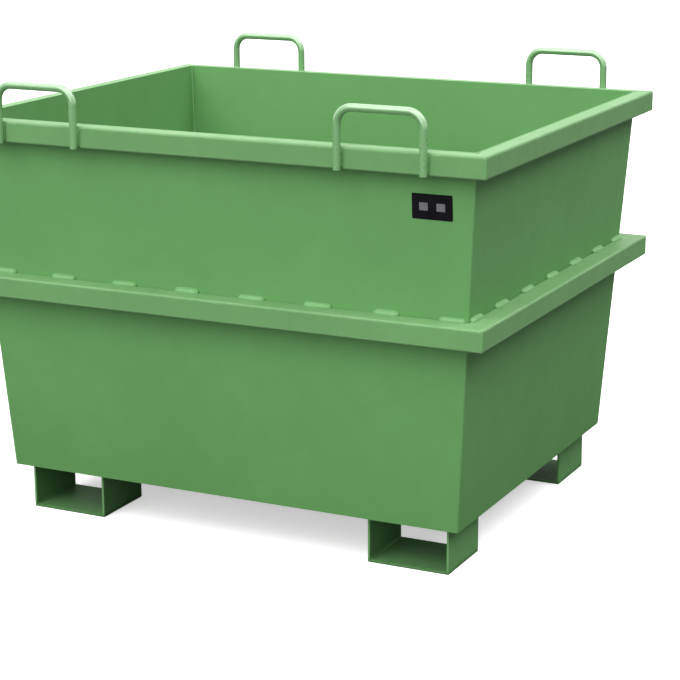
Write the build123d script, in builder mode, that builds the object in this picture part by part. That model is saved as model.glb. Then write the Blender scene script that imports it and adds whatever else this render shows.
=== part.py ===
from build123d import *
import os
from math import cos, floor, radians, sin, tan

# An open steel container with leaning walls, which nests into another of its kind.
# Millimetres. The origin is on the ground below the middle, +Z is up, +X runs along the longer
# sides, and the front, which carries the name plate, faces -Y.

# Rim: a ring of mitred rectangular tube round the mouth, outside the walls
rim_length = 1500.0
rim_width = 1230.0
rim_depth = 38.0
rim_height = 56.0
rim_tube_wall = 4.0
rim_tube_bend = 2.0  # radius inside the tube's corners

# Tub: four leaning sheets round a floor
tub_height = 952.0  # underside of the floor to the top of the rim
wall_sheet = 4.0
floor_sheet = 5.0
end_slope = 3.8  # left and right walls, degrees off plumb
side_slope = 3.5  # front and rear walls, degrees off plumb

# Belt: a ring of mitred rectangular tube round the tub
belt_drop = 410.0  # top of the rim to the top of the belt
belt_depth = 60.0
belt_height = 55.0
belt_tube_wall = 3.0
belt_tube_bend = 2.0  # radius inside the tube's corners

# Feet: a base and two legs of flat bar at each corner, open from front to rear
foot_height = 125.0
foot_width = 222.0
foot_depth = 192.0
foot_bar = 6.0
foot_end_inset = 36.0  # lower edge of an end wall to the outer leg
foot_side_inset = 31.0  # lower edge of the front or rear wall to the foot

# Lifting loops: bent round bar on the outer face of the rim
loop_bar = 20.0
loop_spacing = 222.0  # from one leg's axis to the other's
loop_rise = 104.0  # top of the rim to the top of the loop
loop_bend = 40.0  # radius of the bar's axis
loop_end_distance = 273.0  # end of the rim to the middle of a loop, but for the shift
loop_shift = 10.0  # all four loops stand this far along +X

# Name plate on the front wall
plate_length = 104.0
plate_height = 62.0
plate_thickness = 1.5
plate_corner = 3.0
plate_end_distance = 153.0  # end of the rim to the middle of the plate
plate_drop = 136.0  # top of the rim to the middle of the plate

# Welds
stitch_length = 75.0
side_stitch_pitch = 184.0  # on the front and rear walls
end_stitch_pitch = 176.0  # on the left and right walls
stitch_rise = 12.0  # height of a stitch on the wall
stitch_bite = 9.0  # width of a stitch on the flat of the belt
side_stitch_shift = 12.0  # rows on the front and rear walls lie this far along +X
stitch_corner_room = 4.0  # least distance from a stitch to the tub's corner
rim_weld_end = 5.0  # stops this far short of the tub's corner
loop_weld = 2.5  # width on the rim beyond the bar
loop_weld_root = 4.0  # starts this far from the plane of the leg's axis
loop_weld_wrap = 75.0  # climbs this many degrees round the bar
foot_weld = 5.0
foot_weld_end = 10.0  # stops this far short of the leg's edge

# Gap left between a round face and the flat one it is welded to
fit_up_gap = 0.2

# Levels
rim_top = foot_height + tub_height
rim_underside = rim_top - rim_height
belt_top = rim_top - belt_drop

# Outside corner radii of the two tubes
rim_corner = rim_tube_bend + rim_tube_wall
belt_corner = belt_tube_bend + belt_tube_wall

# Each side is modelled as the front one and turned about the Z axis by its bearing.
sides = {"front": 0, "right": 90, "rear": 180, "left": 270}
# Direction of each corner from the middle, along X and Y
corners = {
    "front_left": (-1, -1),
    "front_right": (1, -1),
    "rear_left": (-1, 1),
    "rear_right": (1, 1),
}


def clear_of_wall(corner, slope):
    """Distance from a leaning wall to the inner face of a tube whose rounded upper corner meets it."""
    angle = radians(slope)
    return (corner + fit_up_gap) / cos(angle) - corner * (1 + tan(angle))


def wall_reach(half_rim, slope, level, depth):
    """Distance from the middle to a wall's outer face at a level, or to a face depth inside it."""
    reach_at_top = half_rim - rim_depth - clear_of_wall(rim_corner, slope)
    lean = (rim_top - level) * tan(radians(slope))
    return reach_at_top - lean - depth / cos(radians(slope))


def half_length(level, depth=0.0):
    """Half the tub's length at a level, on its outer face or depth inside it."""
    return wall_reach(rim_length / 2, end_slope, level, depth)


def half_width(level, depth=0.0):
    """Half the tub's width at a level, on its outer face or depth inside it."""
    return wall_reach(rim_width / 2, side_slope, level, depth)


def along_and_out(bearing):
    """The tub's half size along a side, and from the middle out to that side."""
    if bearing % 180 == 0:
        return half_length, half_width
    return half_width, half_length


def plan(bearing, level):
    """A level plane, turned so that the side lies towards its -Y."""
    return Plane.XY.offset(level).rotated((0, 0, bearing))


def cross_section(bearing):
    """The upright plane across the middle of a side, with its X inwards and its Y up."""
    return Plane.YZ.rotated((0, 0, bearing))


belt_half_length = half_length(belt_top) + clear_of_wall(belt_corner, end_slope) + belt_depth
belt_half_width = half_width(belt_top) + clear_of_wall(belt_corner, side_slope) + belt_depth


def make_wall(bearing):
    """A leaning sheet from the floor's underside to the rim's top, mitred into its neighbours."""
    along, out = along_and_out(bearing)
    with BuildPart() as wall:
        for level in (foot_height, rim_top):
            with BuildSketch(plan(bearing, level)):
                with BuildLine():
                    Polyline(
                        (-along(level), -out(level)),
                        (along(level), -out(level)),
                        (along(level, wall_sheet), -out(level, wall_sheet)),
                        (-along(level, wall_sheet), -out(level, wall_sheet)),
                        close=True,
                    )
                make_face()
        loft(ruled=True)
    return wall.part


def make_ring_tube(bearing, half_run, half_reach, top, depth, height, wall, bend):
    """One side of a ring of tube, mitred at both ends; the half sizes are those of its outer faces."""
    with BuildPart() as tube:
        with BuildSketch(cross_section(bearing)):
            with Locations((depth / 2 - half_reach, top - height / 2)):
                RectangleRounded(depth, height, bend + wall)
                RectangleRounded(depth - 2 * wall, height - 2 * wall, bend, mode=Mode.SUBTRACT)
        extrude(amount=half_run, both=True)
        with BuildSketch(plan(bearing, top)):
            with BuildLine():
                Polyline(
                    (-half_run, -half_reach),
                    (half_run, -half_reach),
                    (half_run - depth, depth - half_reach),
                    (depth - half_run, depth - half_reach),
                    close=True,
                )
            make_face()
        extrude(amount=-height, mode=Mode.INTERSECT)
    return tube.part


def make_rim(bearing):
    """The rim's tube along one side."""
    halves = (rim_length / 2, rim_width / 2)
    half_run, half_reach = halves if bearing % 180 == 0 else halves[::-1]
    return make_ring_tube(
        bearing, half_run, half_reach, rim_top, rim_depth, rim_height, rim_tube_wall, rim_tube_bend
    )


def make_belt(bearing):
    """The belt's tube along one side."""
    halves = (belt_half_length, belt_half_width)
    half_run, half_reach = halves if bearing % 180 == 0 else halves[::-1]
    return make_ring_tube(
        bearing, half_run, half_reach, belt_top, belt_depth, belt_height, belt_tube_wall, belt_tube_bend
    )


def foot_centre(corner):
    """Middle of a foot in plan."""
    toward_x, toward_y = corners[corner]
    x = half_length(foot_height) - foot_end_inset - foot_width / 2
    y = half_width(foot_height) - foot_side_inset - foot_depth / 2
    return toward_x * x, toward_y * y


def make_foot_base(corner):
    """The flat bar that lies on the ground."""
    x, y = foot_centre(corner)
    with BuildPart() as base:
        with Locations((x, y, foot_bar / 2)):
            Box(foot_width, foot_depth, foot_bar)
    return base.part


def make_foot_leg(corner, outwards):
    """The flat bar between base and floor, at the foot's outer edge (1) or inner edge (-1)."""
    x, y = foot_centre(corner)
    leg_x = x + outwards * corners[corner][0] * (foot_width - foot_bar) / 2
    leg_height = foot_height - foot_bar
    with BuildPart() as leg:
        with Locations((leg_x, y, foot_bar + leg_height / 2)):
            Box(foot_bar, foot_depth, leg_height)
    return leg.part


def loop_leg_axes(corner):
    """Where a loop's two legs stand in plan."""
    toward_x, toward_y = corners[corner]
    middle_x = toward_x * (rim_length / 2 - loop_end_distance) + loop_shift
    axis_y = toward_y * (rim_width / 2 + fit_up_gap + loop_bar / 2)
    return [(middle_x + half * loop_spacing / 2, axis_y) for half in (-1, 1)]


def make_loop(corner):
    """A bar bent to a square hoop, with its legs on the rim's outer face."""
    (left_x, axis_y), (right_x, _) = loop_leg_axes(corner)
    axis_top = rim_top + loop_rise - loop_bar / 2
    with BuildPart() as loop:
        with BuildLine(Plane.XZ.offset(-axis_y)):
            FilletPolyline(
                (left_x, rim_underside),
                (left_x, axis_top),
                (right_x, axis_top),
                (right_x, rim_underside),
                radius=loop_bend,
            )
        with BuildSketch(Plane((left_x, axis_y, rim_underside))):
            Circle(loop_bar / 2)
        sweep()
    return loop.part


# The floor fills the space between the walls.
with BuildPart() as floor_plate:
    for floor_level in (foot_height, foot_height + floor_sheet):
        with BuildSketch(Plane.XY.offset(floor_level)):
            Rectangle(2 * half_length(floor_level, wall_sheet), 2 * half_width(floor_level, wall_sheet))
    loft(ruled=True)

# The name plate lies on the front wall and leans with it.
plate_level = rim_top - plate_drop
plate_plane = Plane(
    origin=(rim_length / 2 - plate_end_distance, -half_width(plate_level), plate_level),
    x_dir=(1, 0, 0),
    z_dir=(0, -cos(radians(side_slope)), -sin(radians(side_slope))),
)
with BuildPart() as name_plate:
    with BuildSketch(plate_plane):
        RectangleRounded(plate_length, plate_height, plate_corner)
    extrude(amount=plate_thickness)


def stitch_planes(bearing):
    """The planes across each stitch of one side's row, the last ones drawn in to clear the corners."""
    along, _ = along_and_out(bearing)
    pitch = side_stitch_pitch if bearing % 180 == 0 else end_stitch_pitch
    count = floor(2 * along(belt_top) / pitch) + 1
    shift = side_stitch_shift * cos(radians(bearing))
    row = [(index - (count - 1) / 2) * pitch + shift for index in range(count)]
    last = along(belt_top) - stitch_corner_room - stitch_length / 2
    return [cross_section(bearing).offset(max(-last, min(last, place))) for place in row]


# Stitches hold the belt's top face to the walls.
with BuildPart() as belt_stitch_welds:
    for stitch_bearing in sides.values():
        _, stitch_out = along_and_out(stitch_bearing)
        stitch_slope = side_slope if stitch_bearing % 180 == 0 else end_slope
        belt_face = stitch_out(belt_top) + clear_of_wall(belt_corner, stitch_slope)
        stitch_toe = belt_face + belt_corner + stitch_bite
        with BuildSketch(*stitch_planes(stitch_bearing)):
            with BuildLine():
                Polyline(
                    (-stitch_out(belt_top), belt_top),
                    (-stitch_out(belt_top + stitch_rise), belt_top + stitch_rise),
                    (-stitch_toe, belt_top),
                    close=True,
                )
            make_face()
        extrude(amount=stitch_length / 2, both=True)

# A weld on each side fills the groove between the sheet's top edge and the rounded corner of the rim.
with BuildPart() as rim_welds:
    weld_root = rim_top - rim_corner
    for weld_bearing in sides.values():
        weld_along, weld_out = along_and_out(weld_bearing)
        rim_reach = rim_width / 2 if weld_bearing % 180 == 0 else rim_length / 2
        rim_inner_face = rim_depth - rim_reach
        with BuildSketch(cross_section(weld_bearing)):
            with BuildLine():
                Polyline(
                    (-weld_out(rim_top), rim_top),
                    (rim_inner_face - rim_corner, rim_top),
                    (rim_inner_face, weld_root),
                    (-weld_out(weld_root), weld_root),
                    close=True,
                )
            make_face()
            with Locations((rim_inner_face - rim_corner, weld_root)):
                Circle(rim_corner, mode=Mode.SUBTRACT)
        extrude(amount=weld_along(rim_top) - rim_weld_end, both=True)

# Two beads fill the corners between each loop's leg and the flat of the rim's outer face.
leg_planes = [
    Plane(
        origin=(leg_x, leg_y, rim_underside + rim_corner),
        x_dir=(-corners[leg_corner][1], 0, 0),
        z_dir=(0, 0, 1),
    )
    for leg_corner in corners
    for leg_x, leg_y in loop_leg_axes(leg_corner)
]
with BuildPart() as loop_welds:
    with BuildSketch(*leg_planes):
        wrap = radians(loop_weld_wrap)
        rim_face = loop_bar / 2 + fit_up_gap
        with BuildLine():
            Polyline(
                (loop_weld_root, rim_face),
                (loop_bar / 2 + loop_weld, rim_face),
                (loop_bar / 2 * sin(wrap), loop_bar / 2 * cos(wrap)),
                (loop_weld_root, loop_bar / 2 * cos(wrap)),
                close=True,
            )
        make_face()
        mirror(about=Plane.YZ)
        Circle(loop_bar / 2, mode=Mode.SUBTRACT)
    extrude(amount=rim_height - 2 * rim_corner)


def leg_top_plane(corner, outwards):
    """The plane across a leg, at the middle of its top edge, with its X away from the foot."""
    x, y = foot_centre(corner)
    away = outwards * corners[corner][0]
    return Plane(
        origin=(x + away * foot_width / 2, y, foot_height),
        x_dir=(away, 0, 0),
        z_dir=(0, -away, 0),
    )


# A bead along each leg joins it to the floor's underside.
leg_top_planes = [leg_top_plane(corner, outwards) for corner in corners for outwards in (1, -1)]
with BuildPart() as foot_welds:
    with BuildSketch(*leg_top_planes):
        with BuildLine():
            Polyline((0, 0), (foot_weld, 0), (0, -foot_weld), close=True)
        make_face()
    extrude(amount=foot_depth / 2 - foot_weld_end, both=True)

pieces = {
    "floor_plate": floor_plate.part,
    "name_plate": name_plate.part,
    "belt_stitch_welds": belt_stitch_welds.part,
    "rim_welds": rim_welds.part,
    "loop_welds": loop_welds.part,
    "foot_welds": foot_welds.part,
}
for side, side_bearing in sides.items():
    pieces[f"{side}_wall"] = make_wall(side_bearing)
    pieces[f"rim_{side}"] = make_rim(side_bearing)
    pieces[f"belt_{side}"] = make_belt(side_bearing)
for corner_name in corners:
    pieces[f"foot_{corner_name}_base"] = make_foot_base(corner_name)
    pieces[f"foot_{corner_name}_outer_leg"] = make_foot_leg(corner_name, 1)
    pieces[f"foot_{corner_name}_inner_leg"] = make_foot_leg(corner_name, -1)
    pieces[f"loop_{corner_name}"] = make_loop(corner_name)

os.makedirs("parts", exist_ok=True)
for name, piece in pieces.items():
    piece.label = name
    export_step(piece, f"parts/{name}.step")
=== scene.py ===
"""Visual model of an open steel storage container.

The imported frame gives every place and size. Each sub-assembly is built over it as painted sheet,
tube, bar and weld, in metres, with +X along the longer sides and the front towards -Y.
"""

import logging
import random
from contextlib import contextmanager
from dataclasses import dataclass
from enum import Enum
from functools import lru_cache
from math import cos, pi, radians, sin, tan
from typing import Any, Callable, Iterable, Iterator, Sequence, Union

import bmesh
import bpy
from mathutils import Matrix, Vector


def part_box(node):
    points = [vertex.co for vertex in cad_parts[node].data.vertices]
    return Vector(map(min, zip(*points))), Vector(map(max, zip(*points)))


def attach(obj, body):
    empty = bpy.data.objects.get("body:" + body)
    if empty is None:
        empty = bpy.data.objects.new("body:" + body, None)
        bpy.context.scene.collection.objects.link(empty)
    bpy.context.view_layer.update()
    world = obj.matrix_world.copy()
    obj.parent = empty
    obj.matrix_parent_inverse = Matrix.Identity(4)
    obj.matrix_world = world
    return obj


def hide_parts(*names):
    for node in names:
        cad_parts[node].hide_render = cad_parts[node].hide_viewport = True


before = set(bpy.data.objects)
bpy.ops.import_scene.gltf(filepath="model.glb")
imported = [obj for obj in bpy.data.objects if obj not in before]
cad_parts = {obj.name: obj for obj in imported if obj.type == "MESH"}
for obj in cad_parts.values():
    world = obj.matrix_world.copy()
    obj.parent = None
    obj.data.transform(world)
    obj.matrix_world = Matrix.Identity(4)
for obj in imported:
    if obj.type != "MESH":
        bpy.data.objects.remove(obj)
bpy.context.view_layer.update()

BODY = "root"
EDGE = "edge"  # attribute that is 1 on rounded arrises and 0 on flats
FIELD = "field"  # attribute that is 1 on the name plate's blank fields
MIX_SHARE, MIX_UNDER, MIX_OVER, MIX_RESULT = 0, 6, 7, 2  # sockets of a Mix node for colours
LOG = logging.getLogger("container")

Colour = tuple[float, float, float]
Source = Union[float, Sequence[float], bpy.types.NodeSocket]


class Side(Enum):
    """A side of the container; the value is its bearing from the front, in degrees."""

    FRONT = 0
    RIGHT = 90
    REAR = 180
    LEFT = 270

    @property
    def word(self) -> str:
        """The side's name as the frame's nodes have it."""
        return self.name.lower()

    @property
    def lengthwise(self) -> bool:
        """Whether the side runs along X."""
        return self.value % 180 == 0

    @property
    def turn(self) -> Matrix:
        """The turn about Z that takes the front to this side."""
        return Matrix.Rotation(radians(self.value), 4, "Z")


OPPOSITES = ((Side.FRONT, Side.REAR), (Side.RIGHT, Side.LEFT))


class Corner(Enum):
    """A corner of the container; the value is its direction from the middle along X and Y."""

    FRONT_LEFT = (-1, -1)
    FRONT_RIGHT = (1, -1)
    REAR_LEFT = (-1, 1)
    REAR_RIGHT = (1, 1)

    @property
    def word(self) -> str:
        """The corner's name as the frame's nodes have it."""
        return self.name.lower()


class Grip(Enum):
    """What a selection in edit mode takes hold of."""

    POINTS = "VERT"
    EDGES = "EDGE"
    FACES = "FACE"


class Graph:
    """A node tree under construction."""

    def __init__(self, tree: bpy.types.NodeTree) -> None:
        """Starts on an empty tree.

        Args:
            tree: The tree of a material, a world or a node group.
        """
        self.tree = tree
        tree.nodes.clear()

    def add(self, kind: str, feeds: dict[Union[str, int], Source], **settings: Any) -> bpy.types.Node:
        """Places a node and feeds its sockets.

        Args:
            kind: The node's type.
            feeds: A value or another node's output for each named or numbered input.
            **settings: The node's own options.

        Returns:
            The new node.
        """
        node = self.tree.nodes.new(kind)
        for option, value in settings.items():
            setattr(node, option, value)
        for word, source in feeds.items():
            socket = node.inputs[word]
            if isinstance(source, bpy.types.NodeSocket):
                self.tree.links.new(source, socket)
            else:
                socket.default_value = source
        return node

    def reckon(self, kind: str, first: Source, *others: Source) -> bpy.types.NodeSocket:
        """Takes values together by one kind of arithmetic.

        Args:
            kind: The operation's name, such as MULTIPLY.
            first: The first operand.
            *others: The operands after it.

        Returns:
            The result's socket.
        """
        for other in others:
            first = self.add("ShaderNodeMath", {0: first, 1: other}, operation=kind).outputs[0]
        return first

    def weigh(self, first: Source, second: Source, share: float) -> bpy.types.NodeSocket:
        """Two values in one, with this share of the second."""
        parts = (self.reckon("MULTIPLY", first, 1 - share), self.reckon("MULTIPLY", second, share))
        return self.reckon("ADD", *parts)

    def spread(
        self, value: Source, low: float, high: float, start: Source = 0.0, end: Source = 1.0
    ) -> bpy.types.NodeSocket:
        """Stretches a range onto another and holds what lies beyond.

        Args:
            value: What is stretched.
            low: The value that gives start.
            high: The value that gives end.
            start: The result at low.
            end: The result at high.

        Returns:
            The result's socket.
        """
        feeds = {"Value": value, "From Min": low, "From Max": high, "To Min": start, "To Max": end}
        return self.add("ShaderNodeMapRange", feeds, clamp=True).outputs[0]

    def tint(self, share: Source, under: Source, over: Source) -> bpy.types.NodeSocket:
        """Lays one colour over another.

        Args:
            share: How far the upper colour covers.
            under: The lower colour.
            over: The upper colour.

        Returns:
            The mixed colour's socket.
        """
        feeds = {MIX_SHARE: share}
        for socket, source in ((MIX_UNDER, under), (MIX_OVER, over)):
            feeds[socket] = source if isinstance(source, bpy.types.NodeSocket) else (*source, 1.0)
        return self.add("ShaderNodeMix", feeds, data_type="RGBA").outputs[MIX_RESULT]

    def noise(
        self, place: Source, scale: Source, detail: float, rough: float = 0.5
    ) -> bpy.types.NodeSocket:
        """A cloudy value between 0 and 1.

        Args:
            place: The coordinates it is read at.
            scale: Clouds per metre.
            detail: How many finer octaves it has.
            rough: How strong these are.

        Returns:
            The value's socket.
        """
        feeds = {"Vector": place, "Scale": scale, "Detail": detail, "Roughness": rough}
        return self.add("ShaderNodeTexNoise", feeds).outputs[0]

    def group(self, tree: bpy.types.NodeTree, **feeds: Source) -> bpy.types.NodeSocket:
        """Places a node group and gives the socket of what it puts out."""
        return self.add("ShaderNodeGroup", feeds, node_tree=tree).outputs[0]

    def hand_out(self, value: Source) -> bpy.types.NodeTree:
        """Closes a node group that puts out this value, and gives its tree."""
        self.add("NodeGroupOutput", {0: value})
        return self.tree

    def surface(self, feeds: dict[str, Source]) -> None:
        """Closes a material with one shader that has these inputs."""
        shader = self.add("ShaderNodeBsdfPrincipled", feeds)
        self.add("ShaderNodeOutputMaterial", {"Surface": shader.outputs[0]})


def open_group(name: str, output: str, **inputs: str) -> tuple[Graph, Any]:
    """Starts a shader node group that puts out one value.

    Args:
        name: The group's name.
        output: The name of what it puts out.
        **inputs: The type of each input socket, by name.

    Returns:
        The graph and the sockets of what is handed in.
    """
    tree = bpy.data.node_groups.new(name, "ShaderNodeTree")
    for word, kind in inputs.items():
        tree.interface.new_socket(word, in_out="INPUT", socket_type=f"NodeSocket{kind}")
    tree.interface.new_socket(output, in_out="OUTPUT", socket_type="NodeSocketFloat")
    graph = Graph(tree)
    return graph, graph.add("NodeGroupInput", {}).outputs


def open_material(name: str) -> tuple[bpy.types.Material, Graph, bpy.types.NodeSocket]:
    """Starts a node material.

    Args:
        name: The material's name.

    Returns:
        The material, its graph and the socket of a piece's own coordinates.
    """
    material = bpy.data.materials.new(name)
    material.use_nodes = True
    graph = Graph(material.node_tree)
    return material, graph, graph.add("ShaderNodeTexCoord", {}).outputs["Object"]


@lru_cache(maxsize=None)
def tone_drift() -> bpy.types.NodeTree:
    """Slow wander of a sprayed coat between thin and full.

    Returns:
        The group, which puts out a tone from 0 to 1.
    """
    graph, given = open_group("tone_drift", "Tone", Place="Vector", Broad="Float", Fine="Float")
    broad = graph.noise(given["Place"], given["Broad"], detail=3.0, rough=0.55)
    fine = graph.noise(given["Place"], given["Fine"], detail=2.0, rough=0.6)
    return graph.hand_out(graph.spread(graph.weigh(broad, fine, share=0.32), low=0.34, high=0.66))


@lru_cache(maxsize=None)
def paint_film() -> bpy.types.NodeTree:
    """The paint's orange peel, with specks of overspray.

    Returns:
        The group, which puts out a height.
    """
    graph, given = open_group("paint_film", "Height", Place="Vector", Ripples="Float")
    peel = graph.noise(given["Place"], given["Ripples"], detail=1.0, rough=0.4)
    closer = graph.reckon("MULTIPLY", given["Ripples"], 3.4)
    specks = graph.noise(given["Place"], closer, detail=1.0, rough=0.5)
    raised = graph.spread(specks, low=0.66, high=0.8, end=0.35)
    return graph.hand_out(graph.reckon("ADD", peel, raised))


@lru_cache(maxsize=None)
def arris_wear_and_highlight() -> bpy.types.NodeTree:
    """Lighter rounded arrises, broken up along them: thin paint and a painted edge highlight.

    Returns:
        The group, which puts out a mask.
    """
    graph, given = open_group("arris_wear_and_highlight", "Mask", Place="Vector", Arris="Float", Amount="Float")
    # lighter arrises: thin paint, and a painted edge highlight where light catches the rounding
    long_breaks = graph.noise(given["Place"], scale=9.0, detail=3.0, rough=0.6)
    short_breaks = graph.noise(given["Place"], scale=120.0, detail=2.0, rough=0.6)
    breaks = graph.weigh(long_breaks, short_breaks, share=0.4)
    broken = graph.spread(breaks, low=0.4, high=0.64, start=0.15)
    return graph.hand_out(graph.reckon("MULTIPLY", broken, given["Arris"], given["Amount"]))


@lru_cache(maxsize=None)
def rub_marks() -> bpy.types.NodeTree:
    """Short, mostly level rub marks in scattered patches.

    Returns:
        The group, which puts out a mask.
    """
    graph, given = open_group("rub_marks", "Mask", Place="Vector", Amount="Float")
    cloud = graph.noise(given["Place"], scale=5.5, detail=2.0, rough=0.6)
    patches = graph.spread(cloud, low=0.6, high=0.74)
    strokes_per_metre = {"Vector": given["Place"], "Scale": (26.0, 26.0, 300.0)}
    drawn = graph.add("ShaderNodeMapping", strokes_per_metre).outputs[0]
    strokes = graph.spread(graph.noise(drawn, scale=1.0, detail=2.0, rough=0.65), low=0.6, high=0.72)
    return graph.hand_out(graph.reckon("MULTIPLY", patches, strokes, given["Amount"]))


@lru_cache(maxsize=None)
def settled_dust() -> bpy.types.NodeTree:
    """Dust that lies on what faces up.

    Returns:
        The group, which puts out a mask.
    """
    graph, given = open_group("settled_dust", "Mask", Place="Vector", Facing="Vector", Amount="Float")
    upward = graph.add("ShaderNodeSeparateXYZ", {0: given["Facing"]}).outputs["Z"]
    lies = graph.spread(upward, low=0.35, high=0.95)
    cloud = graph.noise(given["Place"], scale=14.0, detail=4.0, rough=0.62)
    thick = graph.spread(cloud, low=0.36, high=0.7, start=0.25)
    return graph.hand_out(graph.reckon("MULTIPLY", lies, thick, given["Amount"]))


@lru_cache(maxsize=None)
def low_grime() -> bpy.types.NodeTree:
    """Painted shade that darkens towards the ground, with a ragged upper edge and a painted contact
    shadow at its foot.

    Returns:
        The group, which puts out a mask.
    """
    graph, given = open_group("low_grime", "Mask", Place="Vector", Amount="Float")
    level = graph.add("ShaderNodeSeparateXYZ", {0: given["Place"]}).outputs["Z"]
    cloud = graph.noise(given["Place"], scale=4.0, detail=4.0, rough=0.6)
    ragged = graph.spread(cloud, low=0.3, high=0.7, start=-0.06, end=0.06)
    # painted shade: the paint gets darker towards the ground, standing in for the dimmer light low on
    # the walls
    depth = graph.spread(graph.reckon("ADD", level, ragged), low=0.05, high=0.62, start=1.0, end=0.0)
    # painted contact shadow: a dark line in the lowest few millimetres, where pieces meet the ground
    contact_level = graph.reckon("ADD", level, graph.reckon("MULTIPLY", ragged, 0.02))
    contact_shadow = graph.spread(contact_level, low=0.0, high=0.012, start=5.0, end=0.0)
    grime = graph.reckon("ADD", depth, contact_shadow)
    return graph.hand_out(graph.reckon("MULTIPLY", grime, given["Amount"]))


@dataclass(frozen=True)
class Paint:
    """Satin green paint, as one kind of piece carries it.

    Attributes:
        slot: The record's material slot.
        tone: Middle colour, linear.
        drift: How far the tone wanders either way, as a share.
        broad: Wanders of the tone per metre.
        finer: How many times as many small wanders there are.
        ripples: Ripples of the film per metre.
        film: Height of the ripples in metres.
        rough: Middle roughness.
        matt: What is added to it where the coat is thin, and where it is full.
        rubbed: Roughness that dust and rub marks add, as a share of them.
        peel: Strength of the film's ripples.
        wear_and_highlight: How far arrises show lighter, as thin paint and as a painted edge
            highlight.
        rubs: How far rub marks show.
        dust: How far dust shows on what faces up.
        grime: How far painted shade darkens the paint near the ground.
        shine: Strength of the reflections.
        gloss: Weight of a clear gloss over the paint.
        gloss_rough: Roughness of that gloss.
        thin_paint_and_highlight: Colour of thin and rubbed paint, and of the painted edge highlight.
        ground_shade_colour: Colour of that painted shade, a darker green.
        powder: Colour of the dust.
    """

    slot: str
    tone: Colour = (0.132, 0.323, 0.112)
    drift: float = 0.07
    broad: float = 2.2
    finer: float = 9.0
    ripples: float = 240.0
    film: float = 0.00022
    rough: float = 0.5
    matt: tuple[float, float] = (0.05, -0.04)
    rubbed: float = 0.5
    peel: float = 0.6
    wear_and_highlight: float = 0.25
    rubs: float = 0.16
    dust: float = 0.1
    grime: float = 0.3
    shine: float = 0.2
    gloss: float = 0.0
    gloss_rough: float = 0.2
    thin_paint_and_highlight: Colour = (0.33, 0.52, 0.29)
    ground_shade_colour: Colour = (0.06, 0.17, 0.045)
    powder: Colour = (0.56, 0.56, 0.48)

    @lru_cache(maxsize=None)
    def material(self) -> bpy.types.Material:
        """Builds the node material, once.

        Returns:
            The material.
        """
        material, graph, place = open_material(f"{self.slot}_finish")
        facing = graph.add("ShaderNodeNewGeometry", {}).outputs["Normal"]
        arris = graph.add("ShaderNodeAttribute", {}, attribute_name=EDGE).outputs["Fac"]
        tone = graph.group(tone_drift(), Place=place, Broad=self.broad, Fine=self.broad * self.finer)
        # lighter arrises: thin paint and a painted edge highlight
        wear_and_highlight = graph.group(arris_wear_and_highlight(), Place=place, Arris=arris, Amount=self.wear_and_highlight)
        rubs = graph.group(rub_marks(), Place=place, Amount=self.rubs)
        dust = graph.group(settled_dust(), Place=place, Facing=facing, Amount=self.dust)
        # painted shade, darker towards the ground, with a painted contact shadow at the foot
        grime = graph.group(low_grime(), Place=place, Amount=self.grime)
        shades = (1 - self.drift, 1 + self.drift)
        colour = graph.tint(tone, *(tuple(band * shade for band in self.tone) for shade in shades))
        # layers: lighter arrises (thin paint and a painted edge highlight), rub marks, dust, then the
        # painted ground shade
        layers = ((wear_and_highlight, self.thin_paint_and_highlight), (rubs, self.thin_paint_and_highlight), (dust, self.powder), (grime, self.ground_shade_colour))
        for mask, cover in layers:
            colour = graph.tint(mask, colour, cover)
        rough = graph.spread(tone, 0.0, 1.0, *(self.rough + change for change in self.matt))
        dull = graph.reckon("MULTIPLY", graph.reckon("ADD", dust, rubs), self.rubbed)
        film = graph.group(paint_film(), Place=place, Ripples=self.ripples)
        ripple = {"Height": film, "Strength": self.peel, "Distance": self.film}
        bump = graph.add("ShaderNodeBump", ripple)
        graph.surface({
            "Base Color": colour,
            "Roughness": graph.reckon("ADD", rough, dull),
            "Normal": bump.outputs[0],
            "Specular IOR Level": self.shine,
            "Coat Weight": self.gloss,
            "Coat Roughness": self.gloss_rough,
        })
        return material


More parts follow.
